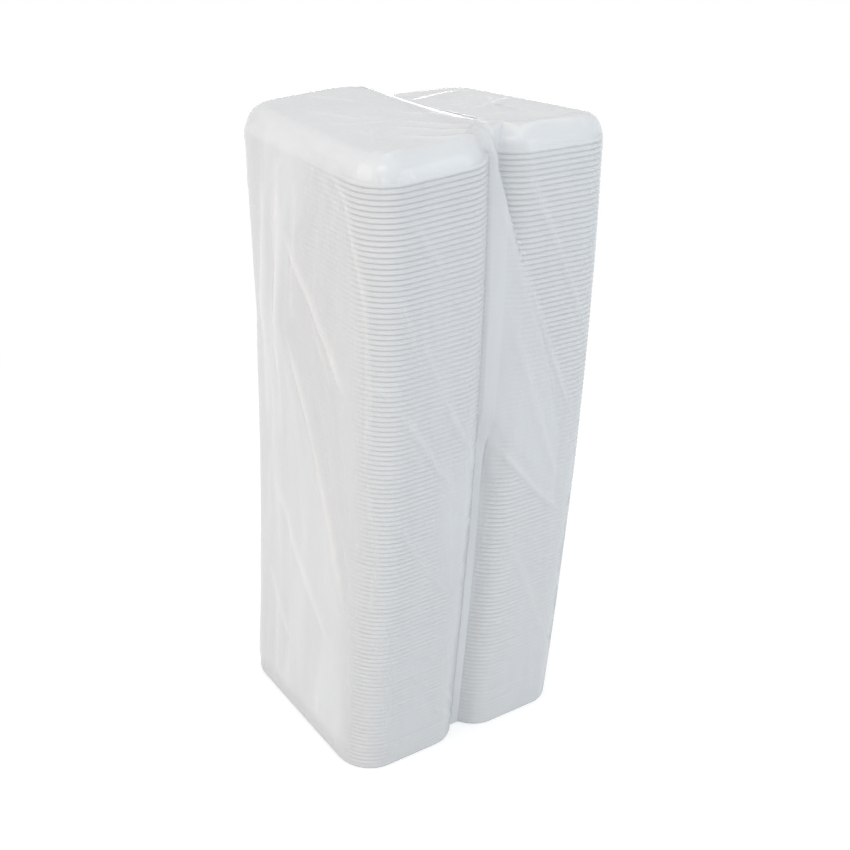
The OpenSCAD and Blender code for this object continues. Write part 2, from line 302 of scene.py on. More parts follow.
# The sides that this holds for end at this height over this fade, and begin over this one at the floor
SIDES_TO = 648
SIDES_FADE = 34
SIDES_START = 30

# How far the film dips between two rims where it hugs them, at most, and the painted highlight on a rim
RIPPLE = 0.9
DEEPEST_DIP = 1.15
RIM_HIGHLIGHT = 0.75
RIM_HIGHLIGHT_RANGE = (0.3, 1.2)
# How much it hugs a flat face, the bend at which it hugs fully, and how soon looseness ends it
FLAT_HUG = 0.5
HUG_BEND = 0.12
LOOSE_COST = 1.3
# Dips differ from gap to gap by these factors, are deeper at the foot, and end over the last gaps; patches of
# this size press them in by a least amount and a share of the patch
DIP_FACTORS = (0.55, 1.3)
DIP_FOOT_TO_TOP = (1.7, 1.0)
LAST_GAPS = 6
PATCH_SIZE = 45
PRESSED_LEAST = 0.35
PRESSED_SHARE = 0.9

# Looseness, which makes haze: the share that doesn't come from folds, and how creases add to it
STEADY_HAZE = 0.8
CREASE_HAZE_HEIGHT = 3.4
CREASE_HAZE_MOST = 0.6
# Painted highlight along the creases: the height where it starts, the height that adds to full, and how much
# shows on the fronts and elsewhere
HIGHLIGHT_FROM_HEIGHT = 0.25
HIGHLIGHT_HEIGHT = 1.2
HIGHLIGHT_ON_FRONTS = 0.3
HIGHLIGHT_ELSEWHERE = 0.85
# A point counts as on the fronts where it faces this much ahead and less than this much up
FRONT_AHEAD = 0.6
FRONT_UP = 0.2

# Random seeds and the range of a wave's start, in radians
SEED_CREASES = 7
SEED_FOLDS = 3
SEED_DIPS = 11
SEED_PATCHES = 5
PHASES = (0, 6)

# Materials: streaks against facets in the film's crinkles, how far its haze varies, and the share of it
# that lets light through to what lies under it
STREAK_SHARE = 0.25
VEIL_DEPTH = 0.25
LIGHT_PASSED = 0.6

# The floor, which the camera sees brighter than it lights the pack, and white far from the pack
FLOOR_COLOUR = (0.6, 0.6, 0.6, 1)
FLOOR_GLOW = 0.55
WHITE_FLOOR_FROM = 0.45
WHITE_FLOOR_TO = 1.1
WORLD_COLOUR = (1.0, 0.993, 0.982, 1)
WORLD_STRENGTH = 0.66
# Softboxes: name, place, target, width, height, power in watts, colour
SOFTBOXES = [
    ("warm_key", (-2.4, 0.1, 1.3), (0, 0, 0.35), 1.2, 1.8, 17, (1.0, 0.95, 0.9)),
    ("cool_fill", (1.2, -2.4, 1.2), (0, 0, 0.35), 1.4, 1.6, 18, (0.78, 0.9, 1.0)),
    ("back_fill", (1.7, 2.3, 0.35), (0, 0, 0.33), 1.6, 0.5, 17, (1.0, 0.98, 0.96)),
    ("glint", (-1.5, -1.3, 2.1), (0, 0, 0.4), 0.9, 0.5, 6, (1.0, 1.0, 1.0)),
]


# Shape of the film


def smooth(x):
    """A smooth step that rises from 0 at 0 to 1 at 1."""
    x = np.clip(x, 0, 1)
    return x * x * (3 - 2 * x)


def rise(x, start, reach):
    """A smooth step that rises from 0 at start to 1 a reach further on."""
    return smooth((x - start) / reach)


def on_side(x, y):
    """True on the pack's two sides, false on its front and back."""
    return np.abs(x / HALF_ACROSS) > np.abs(y / HALF_ALONG)


def stack_frames(side, t):
    """Foot points and rotations (as matrices) of a stack at shares t of its height."""
    roll, nod = LEFT_TILT if side < 0 else RIGHT_TILT
    full_roll = math.tan(math.radians(roll * (TRAYS - 1)))
    full_nod = math.tan(math.radians(nod * (TRAYS - 1)))
    run = t ** (LEAN_POWER + 1) / (LEAN_POWER + 1) * STACK_H
    place = np.stack([side * STACK_X + full_roll * run, full_nod * run, FOOT_Z + t * STACK_H], 1)
    ay = np.arctan(full_roll * t**LEAN_POWER)
    ax = -np.arctan(full_nod * t**LEAN_POWER)
    return place - BOX_MIDDLE, ax, ay


def carried(points, side, t):
    """Points of a tray's own frame, one set for each share t, carried to the pack's frame."""
    place, ax, ay = stack_frames(side, t)
    ca, sa = np.cos(ax)[:, None], np.sin(ax)[:, None]
    cb, sb = np.cos(ay)[:, None], np.sin(ay)[:, None]
    x, y, z = points[..., 0], points[..., 1], points[..., 2]
    y2, z2 = y * ca - z * sa, y * sa + z * ca
    return np.stack([x * cb + z2 * sb, y2, -x * sb + z2 * cb], 2) + place[:, None, :]


def arc(centre, r, start, sweep, steps):
    """Points along an arc, each with its facing direction."""
    a = np.radians(start + sweep * np.arange(steps + 1) / steps)
    d = np.stack([np.cos(a), np.sin(a)], 1)
    return np.array(centre) + r * d, d


def half_outline(grow):
    """Front half of one stack's outline, from the middle of its outer side to where the film leaves it."""
    side_n, outer_n, front_n, inner_n = STEPS
    r = RIM_R + grow
    x = TRAY_WIDTH / 2 + grow - r
    y = TRAY_LENGTH / 2 + grow - r
    side_p = np.array([[-x - r, -y * k / side_n] for k in range(side_n)])
    side_d = np.tile([-1.0, 0.0], (side_n, 1))
    outer_p, outer_d = arc((-x, -y), r, 180, 90, outer_n)
    front_p = np.array([[-x + 2 * x * k / front_n, -y - r] for k in range(1, front_n)])
    front_d = np.tile([0.0, -1.0], (front_n - 1, 1))
    inner_p, inner_d = arc((x, -y), r, 270, VALLEY_WRAP, inner_n)
    return (
        np.concatenate([side_p, outer_p, front_p, inner_p]),
        np.concatenate([side_d, outer_d, front_d, inner_d]),
    )


def half_rings(rows, end):
    """Film points and facing directions of every row, front (end 1) or back (end -1)."""
    t, z, inset, facing = rows.T
    c, s = np.cos(np.radians(facing)), np.sin(np.radians(facing))
    halves = []
    for side in (-1, 1):
        points, dirs = [], []
        for k in range(len(rows)):
            p, d = half_outline(-inset[k])
            level, up = np.full(len(p), z[k]), np.full(len(p), s[k])
            points.append(np.column_stack([-side * p[:, 0], end * p[:, 1], level]))
            dirs.append(np.column_stack([-side * d[:, 0] * c[k], end * d[:, 1] * c[k], up]))
        halves.append((carried(np.array(points), side, t), np.array(dirs)))
    left, right = halves[0], (halves[1][0][:, ::-1], halves[1][1][:, ::-1])
    # the film crosses the valley in a straight line
    a, b = left[0][:, -1:], right[0][:, :1]
    share = (np.arange(1, BRIDGE) / BRIDGE)[None, :, None]
    span = a + (b - a) * share
    span_d = np.tile(np.stack([0 * c, -end * c, s], 1)[:, None], (1, BRIDGE - 1, 1))
    return np.concatenate([left[0], span, right[0]], 1), np.concatenate([left[1], span_d, right[1]], 1)


def tent(points, dirs, haze):
    """Pulls the front of the film out into the tent between the left stack and the right one."""
    first = HALF_COLUMNS - TENT_LEAVES
    leaving = points[:, first]
    right_front = points[:, HALF_COLUMNS + BRIDGE + STEPS[3], 1]
    land_z, land_x = zip(*TENT_LANDING[::-1])
    landing = np.interp(points[:, HALF_COLUMNS, 2], land_z, land_x)
    foot_x, foot_z = zip(*TENT_FOOT)
    for k in range(first + 1, points.shape[1]):
        x, y, z = points[:, k].T.copy()
        s = (x - leaving[:, 0]) / np.maximum(landing - leaving[:, 0], 1)
        plane = leaving[:, 1] + (right_front - leaving[:, 1]) * s
        above = rise(z - np.interp(x, foot_x, foot_z), -TENT_FADE * TENT_BELOW, TENT_FADE)
        out = np.where(s < 1, np.minimum(y, plane), y)
        points[:, k, 1] += (out - y) * above
        hazy = above * smooth((1 - s) / LANDING_FADE) * rise(s, -LEAVING_FADE / 2, LEAVING_FADE)
        hazy *= rise(z, *TENT_HAZE_FROM)
        haze[:, k] = np.maximum(haze[:, k], TENT_HAZE * hazy)
        # on the tent every lift goes straight ahead, so that its edges stay clean
        ahead = (above * (s < 1))[:, None]
        turned = dirs[:, k] * (1 - ahead) + np.array([0.0, -1.0, 0.0]) * ahead
        dirs[:, k] = turned / np.linalg.norm(turned, axis=1, keepdims=True)


def ridge_lift(points, creases):
    """How far the creases lift the film at each point, in millimetres."""
    flat = points.reshape(-1, 3)
    out = np.zeros(len(flat))
    for line, proud, width, sharp in creases:
        line = np.array(line, float)
        flatten = EDGE_FLATTEN if line[:, 2].min() > EDGE_CREASES_FROM else 1.0
        lo, hi = line.min(0) - width / flatten, line.max(0) + width / flatten
        near = np.nonzero(((flat > lo) & (flat < hi)).all(1))[0]
        if not len(near):
            continue
        p = flat[near]
        best = np.full(len(p), np.inf)
        along = np.zeros(len(p))
        total = len(line) - 1
        for i, (a, b) in enumerate(zip(line[:-1], line[1:])):
            s = np.clip((p - a) @ (b - a) / ((b - a) @ (b - a)), 0, 1)
            away = p - a - s[:, None] * (b - a)
            away[:, 2] *= flatten
            d = np.linalg.norm(away, axis=1)
            along = np.where(d < best, (i + s) / total, along)
            best = np.minimum(best, d)
        ends = smooth(along / CREASE_TAPER) * smooth((1 - along) / CREASE_TAPER)
        ends = ends * (1 - CREASE_END) + CREASE_END
        lifted = proud * ends * np.maximum(0, 1 - best / width) ** sharp
        out[near] = np.maximum(out[near], lifted)
    return out.reshape(points.shape[:-1])


def small_creases(points, crumple):
    """Lift of short, straight creases over the film, most of them steep, and few on the flat of the top."""
    rng = np.random.default_rng(SEED_CREASES)
    flat = points.reshape(-1, 3)
    lines = []
    while len(lines) < SMALL_COUNT:
        p = flat[rng.integers(len(flat))]
        top = p[2] > TOP_FROM
        if p[2] < FOOT_TO or (top and rng.random() < TOP_LEFT_OUT):
            continue
        if p[2] < LOW_TO and rng.random() < LOW_LEFT_OUT:
            continue
        length = rng.uniform(*(SMALL_LENGTHS_TOP if top else SMALL_LENGTHS))
        lean = rng.normal(0, SMALL_SPREAD)
        if top:
            turn = rng.uniform(0, math.pi)
            d = np.array([math.cos(turn), math.sin(turn), 0])
        elif on_side(p[0], p[1]):
            d = np.array([0, math.sin(lean + SMALL_LEAN_SIDE), math.cos(lean)])
        else:
            d = np.array([math.sin(lean + SMALL_LEAN_FRONT), 0, math.cos(lean)])
        low_side = p[0] < FACE_FROM and p[2] < LOW_SIDE_TO
        if low_side and rng.random() < LOW_SIDE_LEFT_OUT:
            continue
        full = SMALL_RISE_FRONT if p[1] < FACE_FROM else SMALL_RISE_SIDE
        if top:
            full = SMALL_RISE_TOP
        height = crumple * rng.uniform(SMALL_LEAST, 1.0) * full
        ends = [p - d * length / 2, p + d * length / 2]
        lines.append((ends, height, rng.uniform(*SMALL_WIDTHS), SMALL_SHARPNESS))
    return ridge_lift(points, lines)


def standing_off(points, facing):
    """How far the film stands off the trays, from 0 to 1: most on the left, the right and the back."""
    x, y, z = np.moveaxis(points, -1, 0)
    to_right, to_back = facing[..., 0], facing[..., 1]
    behind = rise(y - np.interp(z, *zip(*SLACK_LINE)), *SLACK_FADE)
    past_hug = rise(y - np.interp(z, *zip(*HUG_LINE)), *HUG_FADE)
    left = (LEFT_OFF + SLACK_OFF * behind) * past_hug * rise(-to_right, *LEFT_FACING)
    right = RIGHT_OFF * rise(to_right, *RIGHT_FACING) * rise(y, *RIGHT_FADE)
    back = BACK_OFF * rise(to_back, *BACK_FACING)
    front = np.zeros(x.shape)
    for px, pz, reach, height, amount in FRONT_PATCHES:
        patch = amount * np.exp(-(((x - px) / reach) ** 2) - ((z - pz) / height) ** 2)
        front = np.maximum(front, patch)
    front *= rise(-to_back, *FRONT_FACING)
    return np.maximum.reduce([left, right, back, front])


def soft_folds(points):
    """Long, soft folds, from 0 to 1: upright, and on the left side parallel to the slack line near it."""
    rng = np.random.default_rng(SEED_FOLDS)
    x, y, z = np.moveaxis(points, -1, 0)
    line = np.interp(z, *zip(*SLACK_LINE))
    follow = np.where(x < 0, np.exp(-np.abs(y - line) / FOLLOW_REACH), 0)
    run = np.where(on_side(x, y), y - line * follow, x + FOLD_LEAN * z)
    total = np.zeros(x.shape)
    for _ in range(FOLD_WAVES):
        length = rng.uniform(*FOLD_LENGTHS)
        reach = rng.uniform(*SWELL_HEIGHTS)
        swell = 1 - FOLD_SWELL + FOLD_SWELL * np.sin(z / reach * 2 * math.pi + rng.uniform(*PHASES))
        drift = FOLD_DRIFT * np.sin(z / rng.uniform(*DRIFT_HEIGHTS) + rng.uniform(*PHASES))
        total += swell * np.sin((run + drift) / length * 2 * math.pi + rng.uniform(*PHASES))
    return 0.5 + 0.5 * np.tanh(FOLD_CONTRAST * total)


def cloud(points, size, seed):
    """Soft random patches of about one size, from 0 to 1."""
    rng = np.random.default_rng(seed)
    total = np.zeros(points.shape[:-1])
    for _ in range(CLOUD_WAVES):
        turn = rng.normal(size=3)
        turn *= 2 * math.pi / (size * rng.uniform(*CLOUD_LENGTHS) * np.linalg.norm(turn))
        total += np.sin(points @ turn + rng.uniform(*PHASES))
    return 0.5 + 0.5 * np.tanh(CLOUD_CONTRAST * total)


def film_rows():
    """Rows of the film from its foot to the edge of the flat top, each as FOOT_ROWS has them."""
    rows = list(FOOT_ROWS)
    for j in range(BODY_ROWS):
        rows.append((j / (BODY_ROWS - 1), RIM_EDGE / 2, 0, 0))
    # over the top tray the film swells a little, along one smooth curve
    curve = np.array(DOME_CURVE)
    for k in range(1, DOME_ROWS + 1):
        s = k / DOME_ROWS
        weights = np.array([(1 - s) ** 3, 3 * s * (1 - s) ** 2, 3 * s * s * (1 - s), s**3])
        slopes = np.array([-3 * (1 - s) ** 2, 3 * (1 - s) * (1 - 3 * s), 3 * s * (2 - 3 * s), 3 * s * s])
        inset, z = weights @ curve
        along, up = slopes @ curve
        rows.append((1, z, inset, math.degrees(math.atan2(along, up))))
    return np.array(rows, float)


def flat_top(x, y):
    """Height of the film over the two top trays and the valley between them."""
    planes, edges = [], []
    for side in (-1, 1):
        place, (ax,), (ay,) = stack_frames(side, np.array([1.0]))
        normal = np.array([math.sin(ay) * math.cos(ax), -math.sin(ax), math.cos(ay) * math.cos(ax)])
        origin = place[0] + normal * TRAY_DEPTH
        planes.append((origin, normal))
        edges.append(origin[0] - side * (TRAY_WIDTH / 2 - BEND_INSET + PAST_EDGE))

    def height(plane, px):
        o, n = plane
        return o[2] - ((px - o[0]) * n[0] + (y - o[1]) * n[1]) / n[2]

    left, right = planes
    s = smooth((x - edges[0]) / (edges[1] - edges[0]))
    valley = height(left, edges[0]) * (1 - s) + height(right, edges[1]) * s
    over_right = np.where(x > edges[1], height(right, x), valley)
    return np.where(x < edges[0], height(left, x), over_right) + TOP_LIFT


def side_rings():
    """Rings from the foot to the edge of the flat top: points, facing directions and haze."""
    rows = film_rows()
    front_p, front_d = half_rings(rows, 1)
    back_p, back_d = half_rings(rows, -1)
    # in the back valley the film moves straight back, so that its two sides don't cross
    valley = slice(HALF_COLUMNS, HALF_COLUMNS + BRIDGE - 1)
    back_d[BODY, valley.start - BACK_TURN : valley.stop + BACK_TURN] = (0.0, 1.0, 0.0)
    front_haze = np.zeros(front_p.shape[:2])
    front_haze[:, valley] = VALLEY_HAZE
    back_haze = front_haze.copy()
    tent(front_p, front_d, front_haze)
    # the back runs the other way, without the two columns that the front has already
    pairs = ((front_p, back_p), (front_d, back_d), (front_haze, back_haze))
    return [np.concatenate([front, back[:, -2:0:-1]], 1) for front, back in pairs]


def top_rings(last):
    """Rings of the flat top, from the last ring of the sides to a line along the valley's middle."""
    line_y = np.clip(last[:, 1] * TOP_SHRINK, -TOP_MIDDLE_Y, TOP_MIDDLE_Y)
    line = np.column_stack([np.full(len(last), TOP_MIDDLE_X), line_y])
    points = []
    for k in range(1, TOP_RINGS + 1):
        s = 1 - k / (TOP_RINGS + 1)
        x, y = (last[:, :2] * s + line * (1 - s)).T
        flat = smooth(k / TOP_BLEND)
        z = flat_top(x, y) * flat + (1 - flat) * (last[:, 2] + TOP_LIFT)
        points.append(np.column_stack([x, y, z]))
    dirs = np.tile([0.0, 0.0, 1.0], (TOP_RINGS, len(last), 1))
    return np.array(points), dirs, np.zeros((TOP_RINGS, len(last)))


def rim_ripples(points, dirs, loose):
    """How far the film dips between the rims, and the painted highlight where it touches one."""
    bend = 1 - np.maximum(np.abs(dirs[..., 0]), np.abs(dirs[..., 1]))
    hug = (FLAT_HUG + (1 - FLAT_HUG) * smooth(bend / HUG_BEND)) * (1 - np.clip(loose * LOOSE_COST, 0, 1))
    gaps = TRAYS - 1
    rng = np.random.default_rng(SEED_DIPS)
    uneven = rng.uniform(*DIP_FACTORS, gaps) * smooth((gaps - np.arange(gaps) + 1) / LAST_GAPS)
    uneven *= np.linspace(*DIP_FOOT_TO_TOP, gaps)
    uneven = uneven[:, None]
    pressed = PRESSED_LEAST + PRESSED_SHARE * cloud(points[BODY][1::2], PATCH_SIZE, SEED_PATCHES)
    dip = np.zeros(points.shape[:2])
    dip[BODY][1::2] = np.minimum(RIPPLE * hug[BODY][1::2] * uneven * pressed, DEEPEST_DIP)
    # painted highlight on each rim row where the film hugs it
    rim_highlight = np.zeros(points.shape[:2])
    rim_highlight[BODY][2::2] = RIM_HIGHLIGHT * hug[BODY][2::2] * np.clip(uneven * pressed, *RIM_HIGHLIGHT_RANGE)
    return dip, rim_highlight


def film_surface(crumple):
    """The film as rings of equal length: its points, how hazy it is and how much painted highlight it has at
    each.
    """
    sides = side_rings()
    tops = top_rings(sides[0][-1])
    points, dirs, haze = (np.concatenate(pair) for pair in zip(sides, tops))
    creased = ridge_lift(points, CREASES) + small_creases(points, crumple)
    height = points[..., 2]
    upright = smooth((SIDES_TO - height) / SIDES_FADE) * smooth(height / SIDES_START)
    off = standing_off(points, dirs) * upright
    folds = soft_folds(points)
    by_creases = np.clip(creased / CREASE_HAZE_HEIGHT, 0, CREASE_HAZE_MOST)
    loose = np.maximum.reduce([haze, off * (STEADY_HAZE + (1 - STEADY_HAZE) * folds), by_creases])
    dip, rim_highlight = rim_ripples(points, dirs, loose)
    out = FILM_OUT + creased + off * (OFF_LEAST + OFF_FOLDS * folds) + FOLDS_OUT * folds * upright - dip
    out[0] = UNDER_OUT
    over = np.clip(np.arange(len(points)) - BODY.stop + 1, 0, DOME_ROWS)
    dome = DOME_HAZE * smooth(over / DOME_HAZE_ROWS)
    on_front = (dirs[..., 1] < -FRONT_AHEAD) & (dirs[..., 2] < FRONT_UP)
    # painted highlight along the creases, weaker on the fronts; the painted highlight on the rims joins it
    white = np.clip((creased - HIGHLIGHT_FROM_HEIGHT) / HIGHLIGHT_HEIGHT, 0, 1)
    white *= np.where(on_front, HIGHLIGHT_ON_FRONTS, HIGHLIGHT_ELSEWHERE)
    white = np.clip(np.maximum(white, rim_highlight), 0, 1)
    return points + dirs * out[..., None], np.maximum(loose, dome[:, None]), white


def film_faces(rows, columns):
    """Faces of the film: a tube of rings, the seam that closes its top, and the underside."""
    faces = []
    for r in range(rows - 1):
        a = r * columns
        for k in range(columns):
            b = (k + 1) % columns
            faces.append((a + b, a + columns + b, a + columns + k, a + k))
    # the last ring closes on itself across the valley's middle
    last = (rows - 1) * columns
    for k in range(columns // 2 - 1):
        across = (columns - k - 1, (columns - k) % columns)
        faces.append((last + k, last + k + 1, last + across[0], last + across[1]))
    faces.append(list(range(columns))[::-1])
    return faces


# Materials


def mesh_object(name, verts, faces, material):
    mesh = bpy.data.meshes.new(name)
    mesh.from_pydata([tuple(v) for v in verts], [], faces)
    mesh.materials.append(material)
    mesh.polygons.foreach_set("use_smooth", [True] * len(mesh.polygons))
    mesh.update()
    obj = bpy.data.objects.new(name, mesh)
    bpy.context.scene.collection.objects.link(obj)
    return obj


def group(name, inputs, outputs):
    """A new shader node group with named sockets. Returns the tree and its two end nodes."""
    tree = bpy.data.node_groups.new(name, "ShaderNodeTree")
    for label, kind, value in inputs:
        socket = tree.interface.new_socket(label, in_out="INPUT", socket_type=kind)
        if value is not None:
            socket.default_value = value
    for label, kind in outputs:
        tree.interface.new_socket(label, in_out="OUTPUT", socket_type=kind)
    return tree, tree.nodes.new("NodeGroupInput"), tree.nodes.new("NodeGroupOutput")


def node(tree, kind, **values):
    n = tree.nodes.new(kind)
    for key, value in values.items():
        setattr(n, key, value)
    return n


def maths(tree, operation, a, b=None, clamp=False):
    n = node(tree, "ShaderNodeMath", operation=operation, use_clamp=clamp)
    for i, v in enumerate((a, b)):
        if v is None:
            continue
        if isinstance(v, (int, float)):
            n.inputs[i].default_value = v
        else:
            tree.links.new(v, n.inputs[i])
    return n.outputs[0]


def foam_cells():
    """Beads of expanded foam: a cell height and a faint tone that differs from bead to bead."""
    tree, ins, outs = group(
        "Foam Cells",
        [("Cell Size", "NodeSocketFloat", 0.0016), ("Tone", "NodeSocketFloat", 0.03)],
        [("Height", "NodeSocketFloat"), ("Shade", "NodeSocketFloat")],
    )
    coord = node(tree, "ShaderNodeTexCoord")
    scale = maths(tree, "DIVIDE", 1.0, ins.outputs["Cell Size"])
    cells = node(tree, "ShaderNodeTexVoronoi", feature="SMOOTH_F1")
    beads = node(tree, "ShaderNodeTexVoronoi", feature="F1")
    patches = node(tree, "ShaderNodeTexNoise")
    patches.inputs["Scale"].default_value = 24
    for n in (cells, beads):
        tree.links.new(coord.outputs["Object"], n.inputs["Vector"])
        tree.links.new(scale, n.inputs["Scale"])
    tree.links.new(coord.outputs["Object"], patches.inputs["Vector"])
    tree.links.new(cells.outputs["Distance"], outs.inputs["Height"])
    bead = node(tree, "ShaderNodeSeparateColor")
    tree.links.new(beads.outputs["Color"], bead.inputs[0])
    both = maths(tree, "ADD", bead.outputs[0], patches.outputs["Fac"])
    tree.links.new(
        maths(tree, "SUBTRACT", 1.0, maths(tree, "MULTIPLY", both, ins.outputs["Tone"])), outs.inputs["Shade"]
    )
    return tree


def crinkles():
    """Fine crinkles of thin film: short, steep streaks over a soft wave."""
    tree, ins, outs = group(
        "Film Crinkles",
        [("Streak Size", "NodeSocketFloat", 0.006), ("Facet Size", "NodeSocketFloat", 0.02)],
        [("Height", "NodeSocketFloat"), ("Veil", "NodeSocketFloat")],
    )
    coord = node(tree, "ShaderNodeTexCoord")
    squeeze = node(tree, "ShaderNodeMapping")
    squeeze.inputs["Scale"].default_value = (1.0, 1.0, 0.22)
    squeeze.inputs["Rotation"].default_value = (0.18, 0.12, 0.0)
    tree.links.new(coord.outputs["Object"], squeeze.inputs["Vector"])
    streaks = node(tree, "ShaderNodeTexNoise", noise_type="RIDGED_MULTIFRACTAL")
    streaks.inputs["Detail"].default_value = 4
    facets = node(tree, "ShaderNodeTexVoronoi", feature="F1")
    veil = node(tree, "ShaderNodeTexNoise")
    veil.inputs["Detail"].default_value = 5
    veil.inputs["Scale"].default_value = 18
    for n, label in ((streaks, "Streak Size"), (facets, "Facet Size")):
        tree.links.new(squeeze.outputs[0], n.inputs["Vector"])
        tree.links.new(maths(tree, "DIVIDE", 1.0, ins.outputs[label]), n.inputs["Scale"])
    tree.links.new(squeeze.outputs[0], veil.inputs["Vector"])
    height = maths(
        tree, "ADD", maths(tree, "MULTIPLY", streaks.outputs["Fac"], STREAK_SHARE), facets.outputs["Distance"]
    )
    tree.links.new(height, outs.inputs["Height"])
    tree.links.new(veil.outputs["Fac"], outs.inputs["Veil"])
    return tree


def foam_material(settings):
    """White foam skin with faint beads."""
    m = bpy.data.materials.new("white_foam")
    m.use_nodes = True
    t = m.node_tree
    shader = t.nodes["Principled BSDF"]
    shader.inputs["Roughness"].default_value = 0.5
    shader.inputs["Specular IOR Level"].default_value = 0.35
    cells = node(t, "ShaderNodeGroup", node_tree=bpy.data.node_groups["Foam Cells"])
    tint = node(t, "ShaderNodeVectorMath", operation="SCALE")
    tint.inputs[0].default_value = settings.foam_colour[:3]
    t.links.new(cells.outputs["Shade"], tint.inputs["Scale"])
    t.links.new(tint.outputs[0], shader.inputs["Base Color"])
    bump = node(t, "ShaderNodeBump")
    bump.inputs["Strength"].default_value = 0.25
    bump.inputs["Distance"].default_value = 0.0003
    t.links.new(cells.outputs["Height"], bump.inputs["Height"])
    t.links.new(bump.outputs[0], shader.inputs["Normal"])
    return m


def film_material(settings):
    """Milky clear polythene: whiter and less clear where it stands off the trays and along its creases;
    painted highlight on creases and rims.
    """
    m = bpy.data.materials.new("milky_film")
    m.use_nodes = True
    t = m.node_tree
    shader = t.nodes["Principled BSDF"]
    # painted highlight: along its creases and on the rims it hugs, the film's colour turns towards the
    # highlight colour
    painted_highlight = node(t, "ShaderNodeAttribute", attribute_name="painted_highlight")
    tint = node(t, "ShaderNodeMix", data_type="RGBA")
    tint.inputs["A"].default_value = settings.film_colour
    tint.inputs["B"].default_value = settings.painted_highlight_colour
    t.links.new(painted_highlight.outputs["Fac"], tint.inputs["Factor"])
    t.links.new(tint.outputs["Result"], shader.inputs["Base Color"])
    shader.inputs["Roughness"].default_value = 0.2
    shader.inputs["IOR"].default_value = 1.5
    crinkle = node(t, "ShaderNodeGroup", node_tree=bpy.data.node_groups["Film Crinkles"])
    haze = node(t, "ShaderNodeAttribute", attribute_name="haze")
    alpha = maths(t, "ADD", maths(t, "MULTIPLY", haze.outputs["Fac"], settings.haze), settings.milkiness)
    veil = maths(t, "MULTIPLY", maths(t, "SUBTRACT", crinkle.outputs["Veil"], 0.5), VEIL_DEPTH)
    alpha = maths(t, "ADD", alpha, veil, True)
    # milky film scatters light onward, so it shades what is under it less than it hides it
    path = node(t, "ShaderNodeLightPath")
    passed = maths(t, "SUBTRACT", 1.0, maths(t, "MULTIPLY", path.outputs["Is Shadow Ray"], LIGHT_PASSED))
    t.links.new(maths(t, "MULTIPLY", alpha, passed), shader.inputs["Alpha"])
    bump = node(t, "ShaderNodeBump")
    bump.inputs["Strength"].default_value = 0.2
    bump.inputs["Distance"].default_value = 0.0012
    t.links.new(crinkle.outputs["Height"], bump.inputs["Height"])
    t.links.new(bump.outputs[0], shader.inputs["Normal"])
    return m


# Floor, world, lights and camera


def seen_rays(tree):
    """1 for the rays that show a surface to the camera: straight, mirrored or through the film."""
    path = node(tree, "ShaderNodeLightPath")
    seen = maths(tree, "MAXIMUM", path.outputs["Is Camera Ray"], path.outputs["Is Glossy Ray"])
    return maths(tree, "MAXIMUM", seen, path.outputs["Is Transmission Ray"])


def floor_material():
    """Pale floor that keeps the pack's shadow, and is plain white to the camera far from the pack."""
    m = bpy.data.materials.new("pale_floor")
    m.use_nodes = True
    t = m.node_tree
    shader = t.nodes["Principled BSDF"]
    shader.inputs["Base Color"].default_value = FLOOR_COLOUR
    shader.inputs["Roughness"].default_value = 0.8
    shader.inputs["Specular IOR Level"].default_value = 0.1
    seen = seen_rays(t)
    glow = node(t, "ShaderNodeEmission")
    t.links.new(maths(t, "MULTIPLY", seen, FLOOR_GLOW), glow.inputs["Strength"])
    near = node(t, "ShaderNodeAddShader")
    t.links.new(shader.outputs[0], near.inputs[0])
    t.links.new(glow.outputs[0], near.inputs[1])
    white = node(t, "ShaderNodeEmission")
    white.inputs["Strength"].default_value = 1.0
    coord = node(t, "ShaderNodeTexCoord")
    far = node(t, "ShaderNodeVectorMath", operation="LENGTH")
    t.links.new(coord.outputs["Object"], far.inputs[0])
    fade = node(t, "ShaderNodeMapRange", interpolation_type="SMOOTHSTEP")
    fade.inputs["From Min"].default_value = WHITE_FLOOR_FROM
    fade.inputs["From Max"].default_value = WHITE_FLOOR_TO
    t.links.new(far.outputs["Value"], fade.inputs["Value"])
    mix = node(t, "ShaderNodeMixShader")
    t.links.new(maths(t, "MULTIPLY", fade.outputs[0], seen), mix.inputs[0])
    t.links.new(near.outputs[0], mix.inputs[1])
    t.links.new(white.outputs[0], mix.inputs[2])
    t.links.new(mix.outputs[0], t.nodes["Material Output"].inputs["Surface"])
    return m


def studio_world():
    """Soft light from all round, plain white to the camera."""
    world = bpy.data.worlds.new("studio")
    world.use_nodes = True
    t = world.node_tree
    t.nodes.clear()
    soft = node(t, "ShaderNodeBackground")
    soft.inputs["Color"].default_value = WORLD_COLOUR
    soft.inputs["Strength"].default_value = WORLD_STRENGTH
    white = node(t, "ShaderNodeBackground")
    white.inputs["Strength"].default_value = 1.0
    white.inputs["Color"].default_value = (1, 1, 1, 1)
    mix = node(t, "ShaderNodeMixShader")
    t.links.new(seen_rays(t), mix.inputs[0])
    t.links.new(soft.outputs[0], mix.inputs[1])
    t.links.new(white.outputs[0], mix.inputs[2])
    out = node(t, "ShaderNodeOutputWorld")
    t.links.new(mix.outputs[0], out.inputs["Surface"])
    return world


def softbox(name, place, target, width, height, power, colour):
    """A rectangular light that faces its target."""
    light = bpy.data.lights.new(name, "AREA")
    light.shape = "RECTANGLE"
    light.size, light.size_y = width, height
    light.energy = power
    light.color = colour
    obj = bpy.data.objects.new(name, light)
    bpy.context.scene.collection.objects.link(obj)
    obj.location = place
    aim = Vector(target) - Vector(place)
    obj.rotation_euler = aim.to_track_quat("-Z", "Y").to_euler()


